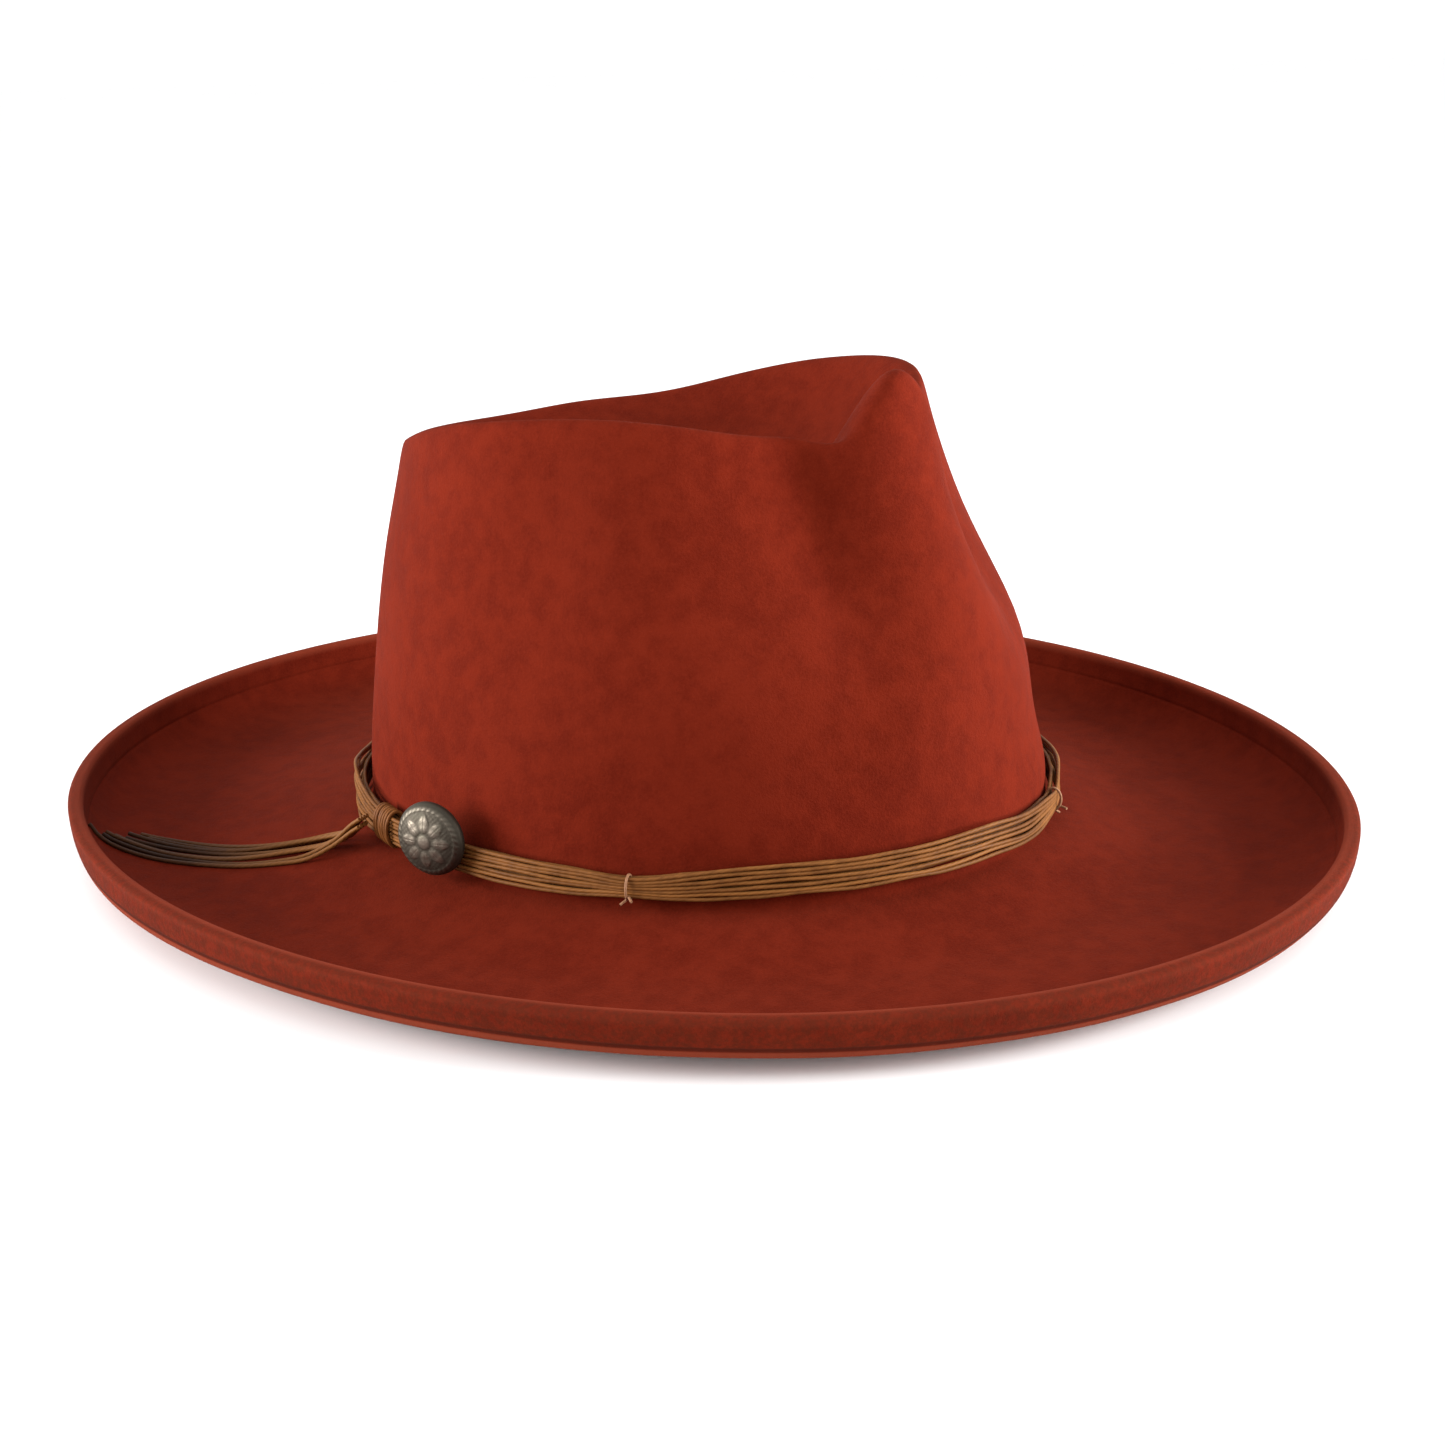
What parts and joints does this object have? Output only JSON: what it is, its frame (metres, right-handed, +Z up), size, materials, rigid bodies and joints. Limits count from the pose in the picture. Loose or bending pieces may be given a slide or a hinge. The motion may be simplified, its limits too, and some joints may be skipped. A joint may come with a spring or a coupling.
{
  "type": "rancher hat",
  "caption": "Felt rancher hat with a pinched teardrop crown, upturned welted brim and a corded band with a domed button and loose tails.",
  "frame": {"origin": "middle of the brim's oval, on the surface that the brim rests on", "axes": "+Z up, the hat's front towards -Y, the wearer's right towards -X"},
  "size_m": [0.3412, 0.385, 0.1351],
  "materials": {
    "felt": "matte wool felt, rust red",
    "cord": "waxed cotton cord, tan brown",
    "thread": "fine waxed thread, light brown",
    "pewter": "dark antiqued pewter, engraved"
  },
  "bodies": {
    "root": {"felt_body": "felt", "hat_band": "cord", "band_wrap_1": "thread", "band_wrap_2": "thread", "band_wrap_3": "thread", "band_wrap_4": "thread", "knot_coil": "cord", "button": "pewter", "tail_bundle": "cord"}
  },
  "joints": []
}
